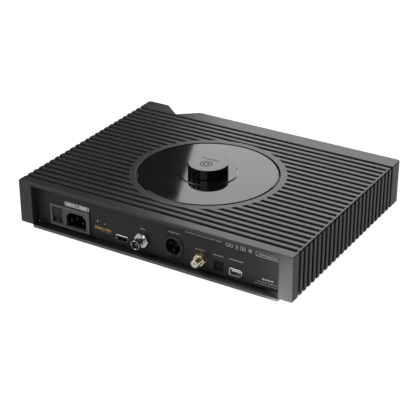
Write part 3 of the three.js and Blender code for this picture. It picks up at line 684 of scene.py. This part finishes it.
def makeTurntable():
    node = "spindle_hub"
    base, top = low(node).z, high(node).z
    under = 40.5 * mm
    seat = turntable["seat"]
    outline = softened([
        (0, base), (turntable["shaft"], base), (turntable["shaft"], under), (turntable["flange"], under),
        (turntable["flange"], seat - 0.05 * mm), (turntable["cone"], seat - 0.05 * mm),
        (turntable["cone"], seat + 1.2 * mm), (turntable["coneTop"], top), (0, top)], 0.3 * mm, 3)
    addTurned("turntable_hub", outline, "mouldedBlack", node, [node], 112)
    inner, outer = turntable["pad"]
    pad = softened(ringSection(inner, outer, seat - 0.3 * mm, seat), 0.1 * mm, 2)
    addTurned("hub_grip_ring", pad, "footRubber", node)
    work = bmesh.new()
    for i in range(turntable["balls"]):
        angle = 2 * math.pi * i / turntable["balls"]
        spot = Vector(standing(node)) + Vector((math.cos(angle), math.sin(angle),
                                                0)) * (turntable["cone"] - 0.35 * mm)
        arc = [(turntable["ball"] * math.sin(math.pi * k / 8),
                seat + 0.62 * mm - turntable["ball"] * math.cos(
            math.pi * k / 8)) for k in range(9)]
        spin(work, arc, spot, steps=16)
    addPiece("hub_balls", work, "nickelPlate", node)


def makePickup():
    node = "pickup_lens"
    base, top = low(node).z, high(node).z
    rim = size(node).x / 2
    spot = standing(node)
    dome = [(0, base)] + [(rim, base), (rim, base + 0.5 * mm)]
    dome += [(1.75 * mm * math.cos(t * math.pi / 12), base + 0.6 * mm + (top - base - 0.6 * mm)
              * math.sin(t * math.pi / 12)) for t in range(7)]
    addTurned("lens_dome", dome, "lensGlass", node, [node], 48)
    tower = high("pickup_sled").z
    work = bmesh.new()
    for radius in (2.75 * mm, 3.6 * mm):
        section = ringSection(radius, radius + 0.4 * mm, tower, tower + 0.25 * mm)
        spin(work, softened(section, 0.1 * mm, 2), spot, steps=48)
    addPiece("lens_rings", work, "mouldedBlack", "pickup_sled")


feedScrew = {"pitch": 3 * mm, "depth": 0.3 * mm, "ringsPerTurn": 8, "journal": 1 * mm, "threadEnd": 8 * mm}


def makeFeedScrew():
    node = "lead_screw"
    radius = size(node).x / 2
    front, rear = low(node).y, high(node).y
    threadEnd = rear - feedScrew["threadEnd"]
    pitch = feedScrew["pitch"]
    count = int((threadEnd - front - 1.6 * mm) / pitch * feedScrew["ringsPerTurn"])
    shaft = [(radius, front + 0.8 * mm + pitch * k / feedScrew["ringsPerTurn"]) for k in range(count)]
    outline = [(0, front), (radius - 0.4 * mm, front), (radius, front + 0.4 * mm)] + shaft
    outline += [(radius, threadEnd - 0.3 * mm), (radius - 0.3 * mm, threadEnd),
                (feedScrew["journal"], threadEnd), (feedScrew["journal"], rear - 0.2 * mm),
                (0.8 * mm, rear), (0, rear)]

    def thread(angle, r, height):
        if r < radius or height < front + 0.7 * mm or height > threadEnd - 0.6 * mm:
            return r
        turn = (height / pitch - angle / (2 * math.pi)) % 1
        return r - feedScrew["depth"] * max(0, 1 - abs(turn - 0.5) * 4)

    addTurnedRear("threaded_feed", outline, "brushedSteel", node, setOn(node), [node], 32, thread)


def makeRails():
    for i in (1, 2):
        node = f"guide_rail_{i}"
        radius = size(node).x / 2
        front, rear = low(node).y, high(node).y
        bar = softened(ringSection(0, radius, front, rear), 0.35 * mm, 3)
        addTurnedRear(f"polished_rail_{i}", bar, "nickelPlate", node, setOn(node), [node], 40)


seamStrip = {"tuck": 0.25 * mm, "under": 1.6 * mm, "height": 0.55 * mm, "short": 0.7 * mm}


def makeSeamStrips():  # close the slit between the base plate and the rear pillars
    edge = high("base_plate").x
    seam = low("top_cover").z
    work = bmesh.new()
    for side in (-1, 1):
        across = sorted((side * (edge - seamStrip["tuck"]), side * (edge + seamStrip["under"])))
        addBlock(work, (across[0], high("rear_panel").y, seam - seamStrip["height"]),
                 (across[1], high("top_cover").y - seamStrip["short"], seam), 0.05 * mm, 1)
    addPiece("seam_strips", work, "footRubber", "base_plate")


grooveEnd = {"first": 13.1 * mm, "pitch": 8.93 * mm, "count": 23, "width": 4.1 * mm, "lap": 0.4 * mm,
             "reach": 2.9 * mm, "drop": 2.6 * mm, "inset": 0.03 * mm, "short": 1.3 * mm,
             "chamfer": 0.4 * mm}
# the black beads on the rib corners are painted shade, put where the seam between the top and the sides lies
# in shadow
paintedShadeBead = {"spread": 0.92 * mm, "crown": 0.25 * mm, "shoulder": (0.55 * mm, 0.055 * mm),
              "heart": 1.1 * mm}


def makeGrooveEnds():  # bridges over the groove ends, and a black bead on each rib corner
    cover = "top_cover"
    edge, top, rear = high(cover).x - grooveEnd["inset"], high(cover).z - grooveEnd["inset"], high(cover).y
    half = grooveEnd["width"] / 2 + grooveEnd["lap"]
    work = bmesh.new()
    for side in (-1, 1):
        inner, outer = edge - grooveEnd["reach"], edge - grooveEnd["short"]
        outline = [(inner, top - grooveEnd["drop"]), (inner, top), (outer - grooveEnd["chamfer"], top),
                   (outer, top - grooveEnd["chamfer"]), (outer, top - grooveEnd["drop"])]
        for i in range(grooveEnd["count"]):
            y = rear - grooveEnd["first"] - grooveEnd["pitch"] * i
            loft(work, [[(side * x, y + shift, z) for x, z in outline] for shift in (-half, half)])
    addPiece("groove_ends", work, "caseAnodised", cover)
    edge, top = high(cover).x, high(cover).z
    spread, crown, heart = paintedShadeBead["spread"], paintedShadeBead["crown"], paintedShadeBead["heart"]
    out, down = paintedShadeBead["shoulder"]
    section = [(spread, 0), (out, down), (crown, crown), (down, out), (0, spread), (heart, heart)]
    # painted shade: a black bead along each rib corner where the seam's shadow falls
    clear = grooveEnd["width"] / 2
    work = bmesh.new()
    for side in (-1, 1):
        for i in range(grooveEnd["count"]):
            y = rear - grooveEnd["first"] - grooveEnd["pitch"] * i
            ends = (y - clear, y - grooveEnd["pitch"] + clear)
            loft(work, [[(side * (edge - x), along, top - z) for x, z in section] for along in ends])
    addPiece("painted_shade_beads", work, "paintedShadeBlack", cover)


makeGrooveEnds()
makeFeet()
makeSeamStrips()
makeTurntable()
makePickup()
makeFeedScrew()
makeRails()
print("mechanism finished")

# rear sockets

panelFace = high("rear_panel").y


def makeInletBlades():
    for i in (1, 2, 3):
        node = f"inlet_pin_{i}"
        low3, high3 = low(node), high(node)
        centre = (middle(node).x, middle(node).z)
        width, height = size(node).x, size(node).z
        loops = [onRear(roundedRect(width * scale, height * tall, 0.35 * mm * scale), centre, y)
                 for scale, tall,
                 y in ((1, 1, low3.y), (1, 1, high3.y - 1.4 * mm), (0.93, 0.96, high3.y - 0.8 * mm),
                                        (0.55, 0.8, high3.y))]
        work = bmesh.new()
        loft(work, loops)
        addPiece(f"inlet_blade_{i}", work, "blackedSteel", node, [node])


rockerMarks = {"bar": (0.55 * mm, 3.4 * mm), "ring": (1.35 * mm, 0.42 * mm), "out": 5.4 * mm,
               "thick": 0.05 * mm, "lean": 8}


def makeRockerMarks():
    node = "power_rocker"
    tilt = Matrix.Rotation(-math.radians(rockerMarks["lean"]), 4, "X")
    pivot = Vector((middle(node).x, panelFace - 3 * mm, middle(node).z))
    slope = math.atan2(1.0, 7.9)  # each half of the face falls away from its ridge
    work = bmesh.new()
    for side in (-1, 1):
        onFace = Matrix.Translation((0, 4.2 * mm, 0)) @ Matrix.Rotation(-side * slope, 4, "X") \
            @ Matrix.Translation((0, 0, side * rockerMarks["out"]))
        made = bmesh.new()
        if side > 0:
            width, length = rockerMarks["bar"]
            outline = roundedRect(width, length, width * 0.45)
            loft(made, [onRear(outline, (0, 0), y) for y in (0, rockerMarks["thick"])])
        else:
            radius, width = rockerMarks["ring"]
            spin(made, ringSection(radius - width, radius, 0, rockerMarks["thick"]), (0, 0, 0), axis="Y",
                 steps=40)
        made.transform(Matrix.Translation(pivot) @ tilt @ onFace)
        scratch = bpy.data.meshes.new("mark")
        made.to_mesh(scratch)
        made.free()
        work.from_mesh(scratch)
        bpy.data.meshes.remove(scratch)
    addPiece("rocker_marks", work, "markGrey", node)


flatSocket = {"wall": 0.45 * mm, "corner": 1.0 * mm, "lowCorner": 2.2 * mm}


def makeFlatSocket():
    node = "data_socket_shell"
    rear, face = low(node).y, high(node).y
    width, height = size(node).x, size(node).z
    wall = flatSocket["wall"]

    def loop(shrink, y):
        outline = roundedRect(width - 2 * shrink, height - 2 * shrink, flatSocket["corner"], 4,
                              flatSocket["lowCorner"])
        return onRear(outline, setOn(node), y)

    work = bmesh.new()
    loft(work, [loop(0.1 * mm, rear), loop(0.1 * mm, face - 0.3 * mm), loop(0, face - 0.15 * mm),
                loop(0.12 * mm, face), loop(wall - 0.1 * mm, face), loop(wall, face - 0.15 * mm),
                loop(wall, rear + 1 * mm)])
    addPiece("flat_socket_shell", work, "nickelPlate", node, [node])
    node = "data_socket_tongue"
    work = bmesh.new()
    addBlock(work, low(node), high(node), 0.2 * mm)
    addPiece("flat_socket_tongue", work, "mouldedBlack", node, [node])
    work = bmesh.new()
    count = 9
    pitch = (size(node).x - 1.6 * mm) / (count - 1)
    for i in range(count):
        x = low(node).x + 0.8 * mm + pitch * i
        for z in (low(node).z - 0.05 * mm, high(node).z):
            addBlock(work, (x - 0.25 * mm, low(node).y + 0.3 * mm, z),
                     (x + 0.25 * mm, high(node).y - 0.5 * mm, z + 0.05 * mm), edge=0)
    addPiece("flat_socket_contacts", work, "goldPlate", node)


serialSocket = {"corner": 0.8 * mm, "wall": 0.35 * mm, "lip": 0.8 * mm}


def makeSerialSocket():
    node = "usb_shell"
    rear, face = low(node).y, high(node).y
    width, height = size(node).x, size(node).z
    lip = serialSocket["lip"]

    def loop(shrink, y, corner=serialSocket["corner"]):
        return onRear(roundedRect(width - 2 * shrink, height - 2 * shrink, corner), setOn(node), y)

    tube = lip + serialSocket["wall"]
    work = bmesh.new()
    loft(work, [loop(lip, rear), loop(lip, face - 0.7 * mm), loop(0.05 * mm, face - 0.55 * mm, 2.0 * mm),
                loop(0, face - 0.35 * mm, 2.0 * mm), loop(0.2 * mm, face - 0.08 * mm, 1.9 * mm),
                loop(0.55 * mm, face, 1.6 * mm), loop(tube - 0.1 * mm, face - 0.25 * mm, 0.8 * mm),
                loop(tube, face - 0.6 * mm, 0.7 * mm), loop(tube, rear + 1 * mm, 0.7 * mm)])
    addPiece("serial_socket_shell", work, "nickelPlate", node, [node])
    node = "usb_tongue"
    work = bmesh.new()
    addBlock(work, low(node), high(node), 0.25 * mm)
    addPiece("serial_socket_tongue", work, "whiteInsulator", node, [node])
    work = bmesh.new()
    for i in range(4):
        x = middle(node).x + (i - 1.5) * 2.3 * mm
        addBlock(work, (x - 0.5 * mm, low(node).y + 4 * mm, low(node).z - 0.25 * mm),
                 (x + 0.5 * mm, high(node).y - 1.2 * mm, low(node).z + 0.02 * mm), 0.1 * mm, 1)
    addPiece("serial_socket_contacts", work, "goldPlate", node)


bayonetSocket = {"flats": 14.2 * mm, "nut": (0.3 * mm, 3.9 * mm), "barrel": 4.8 * mm, "bore": 4.1 * mm,
                 "lug": (5.8 * mm, 0.9 * mm), "boreFloor": 109 * mm}


def lugReach(tip):
    lug, half = bayonetSocket["lug"]
    barrel = bayonetSocket["barrel"]

    def reach(angle, radius, height):
        across = abs(math.sin(angle)) * barrel
        onLug = tip - 6 * mm < height < tip - 4.2 * mm and radius > barrel - 1e-6 and across < half
        return lug if onLug else radius
    return reach


def makeBayonetSocket():
    node = "bayonet_socket_body"
    at = setOn(node)
    tip = high(node).y
    barrel, bore = bayonetSocket["barrel"], bayonetSocket["bore"]
    first, last = bayonetSocket["nut"]
    flats = bayonetSocket["flats"]
    nut = nutOutline(flats, barrel - 0.1 * mm, panelFace + first, panelFace + last, 1.1 * mm)
    addTurnedRear("bayonet_nut", nut, "nickelPlate", node, at, steps=144, reach=nutReach(flats))
    collar = panelFace + last
    outline = [(0, low(node).y), (5 * mm, low(node).y), (5 * mm, panelFace + 1 * mm),
               (barrel, panelFace + 1.2 * mm), (barrel, collar), (barrel - 0.5 * mm, collar + 0.15 * mm),
               (barrel - 0.5 * mm, collar + 1.0 * mm), (barrel, collar + 1.15 * mm),
               (barrel, tip - 6.05 * mm), (barrel, tip - 5.95 * mm), (barrel, tip - 4.25 * mm),
               (barrel, tip - 4.15 * mm), (barrel, tip - 0.35 * mm), (barrel - 0.2 * mm, tip - 0.05 * mm),
               (barrel - 0.35 * mm, tip), (bore + 0.15 * mm, tip), (bore, tip - 0.15 * mm),
               (bore, bayonetSocket["boreFloor"]), (0, bayonetSocket["boreFloor"])]
    addTurnedRear("bayonet_barrel", outline, "nickelPlate", node, at, [node], 128, lugReach(tip))
    node = "bayonet_socket_insulator"
    base, tip = low(node).y, high(node).y
    outline = softened([(0, base), (3.7 * mm, base), (3.7 * mm, tip - 3.6 * mm), (2.2 * mm, tip - 3.6 * mm),
                        (2.2 * mm, tip), (1.2 * mm, tip), (1.2 * mm, base + 0.4 * mm),
                        (0, base + 0.4 * mm)],
                       0.2 * mm, 3)
    addTurnedRear("bayonet_insulator", outline, "mouldedBlack", node, at, [node], 64)
    outline = softened([(0, base + 0.5 * mm), (1.0 * mm, base + 0.5 * mm), (1.0 * mm, tip - 0.4 * mm),
                        (0.6 * mm, tip - 0.2 * mm), (0.45 * mm, tip - 0.4 * mm),
                        (0.45 * mm, tip - 3.5 * mm), (0, tip - 3.5 * mm)], 0.08 * mm, 2)
    addTurnedRear("bayonet_contact", outline, "goldPlate", node, at, steps=40)


balancedSocket = {"cavity": 8.15 * mm, "body": 11 * mm, "pin": 1.2 * mm, "ring": 4.5 * mm,
                  "keyHalf": 1.6 * mm, "keyDeep": 1.0 * mm, "turns": (0.15, 0.85, 1.5)}


def makeBalancedSocket():
    node = "balanced_socket_shell"
    x, z = setOn(node)
    rim, base, face = size(node).x / 2, low(node).y, high(node).y
    cavity, body = balancedSocket["cavity"], balancedSocket["body"]
    flange = panelFace + 0.3 * mm
    outline = softened([(cavity, base), (body, base), (body, flange), (rim, flange),
                        (rim, face - 0.35 * mm), (rim - 0.5 * mm, face), (cavity + 0.9 * mm, face),
                        (cavity + 0.5 * mm, face - 0.25 * mm), (cavity, face - 0.5 * mm)], 0.12 * mm, 3)
    addTurnedRear("balanced_ring", outline, "ringEnamel", node, (x, z), [node], 144)
    node = "balanced_socket_insert"
    base = low(node).y
    floor = panelFace - 10.5 * mm
    radius = cavity - 0.3 * mm
    keyHalf, keyDeep = balancedSocket["keyHalf"], balancedSocket["keyDeep"]

    def keyed(angle, r, height):
        across = abs(math.cos(angle)) * r
        return r - keyDeep if math.sin(angle) < 0 and across < keyHalf and r > radius * 0.9 else r

    core = softened(ringSection(0, radius, base, floor), 0.3 * mm, 3)
    addTurnedRear("balanced_core", core, "mouldedBlack", node, (x, z), [node], reach=keyed)
    work = bmesh.new()
    pin = balancedSocket["pin"]
    tip = high(node).y
    for turns in balancedSocket["turns"]:
        angle = turns * math.pi
        spot = (x + balancedSocket["ring"] * math.cos(angle), 0,
                z + balancedSocket["ring"] * math.sin(angle))
        spin(work, [(0, floor - 0.5 * mm), (pin, floor - 0.5 * mm), (pin, tip - 1.1 * mm),
                    (pin * 0.9, tip - 0.55 * mm), (pin * 0.62, tip - 0.15 * mm),
                    (0, tip)], spot, axis="Y", steps=28)
    addPiece("balanced_pins", work, "blackedSteel", node)


phonoSocket = {"flats": 11.2 * mm, "nut": (1.0 * mm, 6.2 * mm), "barrel": 4.15 * mm, "bore": 3.5 * mm,
               "washer": 6.0 * mm, "boreFloor": 110 * mm}


def makePhonoSocket():
    node = "phono_socket_body"
    at = setOn(node)
    tip = high(node).y
    barrel, bore, washer = phonoSocket["barrel"], phonoSocket["bore"], phonoSocket["washer"]
    first, last = phonoSocket["nut"]
    flats = phonoSocket["flats"]
    nut = nutOutline(flats, barrel - 0.1 * mm, panelFace + first + 0.15 * mm, panelFace + last, 0.8 * mm)
    addTurnedRear("phono_nut", nut, "paleGold", node, at, steps=144, reach=nutReach(flats))
    collar = panelFace + last
    threads = []
    threadTurns = int((tip - 0.5 * mm - collar) / (0.7 * mm))
    for i in range(threadTurns):
        y = collar + 0.25 * mm + i * 0.7 * mm
        threads += [(barrel, y), (barrel - 0.25 * mm, y + 0.3 * mm), (barrel, y + 0.6 * mm)]
    outline = [(0, low(node).y), (4.15 * mm, low(node).y), (4.15 * mm, panelFace + 1.1 * mm), *threads,
               (barrel, tip - 0.3 * mm), (barrel - 0.25 * mm, tip), (bore + 0.1 * mm, tip),
               (bore, tip - 0.15 * mm), (bore, phonoSocket["boreFloor"]), (0, phonoSocket["boreFloor"])]
    addTurnedRear("phono_barrel", outline, "paleGold", node, at, [node], 112)
    section = ringSection(barrel - 0.1 * mm, washer, panelFace + 0.3 * mm, panelFace + 1.1 * mm)
    addTurnedRear("phono_washer", softened(section, 0.15 * mm, 3), "goldPlate", node, at)
    node = "phono_socket_insulator"
    base, tip = low(node).y, high(node).y
    outline = softened([(0, base), (3.2 * mm, base), (3.2 * mm, tip), (1.6 * mm, tip),
                        (1.6 * mm, base + 1.7 * mm), (0, base + 1.7 * mm)], 0.25 * mm, 3)
    addTurnedRear("phono_insulator", outline, "whiteInsulator", node, at, [node], 72)


def makeOpticalShutter():
    node = "optical_shutter"
    first, last = low(node), high(node)
    work = bmesh.new()
    addBlock(work, first, last, 0.18 * mm)
    inset = 1.2 * mm
    for x in (first.x + inset, middle(node).x, last.x - inset):
        addBlock(work, (x - 0.2 * mm, last.y - 0.05 * mm, first.z + inset),
                 (x + 0.2 * mm, last.y + 0.12 * mm, last.z - inset), 0.08 * mm, 1)
    addPiece("shutter_flap", work, "dullBlack", node, [node])


makeInletBlades()
makeRockerMarks()
makeFlatSocket()
makeSerialSocket()
makeBayonetSocket()
makeBalancedSocket()
makePhonoSocket()
makeOpticalShutter()
print("sockets finished")

# rear prints: plain bars, rings and outlines, millimetres from the left edge seen from behind and up

rearEdge = high("top_cover").x
panelLow = low("rear_panel").z
inkThick = 0.05 * mm

printed = {
    "printWhite": {
        "outlines": [(48.9, 78.6, 26.2, 30.7, 1.1, 0.85)],
        "bars": [(50.8, 57.6, 27.5, 29.4), (58.4, 61.2, 27.5, 29.4), (66.4, 76.4, 27.5, 29.4)],
        "rings": [(63.6, 28.25, 1.35, 0.6)],
        "dots": [],
    },
    "printGrey": {
        "outlines": [(267.5, 293.4, 32.2, 37.3, 1.4, 0.65), (250.9, 257.1, 33.1, 37.1, 0.6, 0.6)],
        "bars": [(139.6, 145.2, 24.6, 25.5), (270.6, 290.6, 34.2, 35.1), (274.7, 277.2, 8.5, 10.3),
                 (278.1, 280.4, 8.5, 10.3), (281.3, 283.4, 8.5, 10.3), (284.3, 286.6, 8.5, 10.3),
                 (245.9, 249.1, 33.1, 33.8), (246.6, 248.4, 34.4, 36.9)],
        "rings": [(237.4, 35.1, 2.1, 0.75), (241.6, 35.1, 2.1, 0.75), (261.9, 35.1, 2.0, 0.7)],
        "dots": [(254, 35.1, 1.0), (261.9, 35.1, 0.8)],
        "dashes": [(172.5, 184.2, 30.4, 31.6, 7), (191.7, 232.5, 35.4, 36.3, 17),
                   (202.4, 212.6, 20.2, 21.3, 6), (222.4, 233.4, 19.8, 20.9, 6),
                   (240.2, 255.2, 20.1, 21.2, 8), (269.8, 291.2, 5.7, 6.4, 9), (266.8, 292.2, 3.1, 3.8, 11),
                   (88.0, 90.0, 18.0, 20.4, 1), (97.0, 98.4, 17.4, 18.8, 1)],
    },
    "printGold": {
        "outlines": [],
        "bars": [(85.0, 94.2, 10.6, 13.6), (94.2, 97.8, 10.6, 11.2), (94.2, 97.8, 13.0, 13.6),
                 (97.8, 104.7, 10.6, 13.6), (93.0, 104.4, 9.0, 9.4)],
        "rings": [(96.0, 12.1, 0.8, 0.35)],
        "dots": [],
    },
}


def printAt(across, up):
    return rearEdge - across * mm, panelLow + up * mm


def inkLayer(work, outer, place, inner=None):
    back, front = panelFace, panelFace + inkThick
    if inner:
        loft(work, [onRear(outer, place, back), onRear(outer, place, front),
                    onRear(inner, place, front), onRear(inner, place, back)], closed=True)
    else:
        loft(work, [onRear(outer, place, back), onRear(outer, place, front)])


def makePrint(finish, shapes):
    work = bmesh.new()
    bars = list(shapes["bars"])
    for left, right, bottom, top, count in shapes.get("dashes", []):
        pitch = (right - left) / count
        bars += [(left + pitch * i, left + pitch * (i + (0.55 if i % 3 == 1 else 0.78)), bottom, top)
                 for i in range(count)]
    for left, right, bottom, top in bars:
        width, height = (right - left) * mm, (top - bottom) * mm
        inkLayer(work, roundedRect(width, height, min(width, height) * 0.2, 2),
                 printAt((left + right) / 2, (bottom + top) / 2))
    for left, right, bottom, top, corner, line in shapes["outlines"]:
        width, height = (right - left) * mm, (top - bottom) * mm
        inkLayer(work, roundedRect(width, height, corner * mm),
                 printAt((left + right) / 2, (bottom + top) / 2),
                 roundedRect(width - 2 * line * mm, height - 2 * line * mm, max(corner - line, 0.1) * mm))
    for across, up, radius, line in shapes["rings"]:
        outer = roundedRect(2 * radius * mm, 2 * radius * mm, radius * 0.999 * mm, 8)
        inkLayer(work, outer, printAt(across, up), [point * (1 - line / radius) for point in outer])
    for across, up, radius in shapes["dots"]:
        inkLayer(work, roundedRect(2 * radius * mm, 2 * radius * mm, radius * 0.999 * mm, 6),
                 printAt(across, up))
    addPiece("panel_" + finish[5:].lower() + "_ink", work, finish, "rear_panel")


for finish, shapes in printed.items():
    makePrint(finish, shapes)
print("prints finished")

# front controls

roundKey = {"dish": 0.25 * mm, "stem": 2 * mm, "flange": 1.1 * mm, "edge": 0.4 * mm}


def makeKeys():
    for i in (1, 2, 3):
        node = f"button_{i}"
        front, back = low(node).y, high(node).y
        at = setOn(node)
        rim = size(node).x / 2
        cap = rim - 1 * mm
        flange = low("front_bezel").y + 3.8 * mm
        outline = softened([
            (0, front + roundKey["dish"]), (cap - 1.2 * mm, front + 0.1 * mm),
            (cap - roundKey["edge"], front), (cap, front + roundKey["edge"]), (cap, flange), (rim, flange),
            (rim, flange + roundKey["flange"]), (roundKey["stem"], flange + roundKey["flange"]),
            (roundKey["stem"], back), (0, back)], 0.15 * mm, 2)
        addTurnedRear(f"round_key_{i}", outline, "keyMetal", node, at, [node], 96)


thumbWheel = {"teeth": 48, "depth": 0.45 * mm, "bore": 2.1 * mm, "boreTop": 9 * mm, "chamfer": 0.7 * mm}


def makeThumbWheel():
    node = "control_wheel"
    rim, base, top = size(node).x / 2, low(node).z, high(node).z
    bore = thumbWheel["bore"]
    inside = base + thumbWheel["boreTop"]
    chamfer = thumbWheel["chamfer"]
    outline = [(bore, base), (rim - chamfer, base), (rim, base + chamfer), (rim, top - chamfer),
               (rim - chamfer, top), (rim - 3 * mm, top), (rim - 3.3 * mm, top - 0.3 * mm),
               (0, top - 0.3 * mm), (0, inside), (bore, inside)]

    def knurl(angle, radius, height):
        if radius < rim - 1e-6:
            return radius
        return radius - thumbWheel["depth"] * (0.5 - 0.5 * math.cos(angle * thumbWheel["teeth"]))

    addTurned("knurled_wheel", outline, "rimTurned", node, [node], thumbWheel["teeth"] * 6, knurl)


makeKeys()
makeThumbWheel()
print("controls finished")
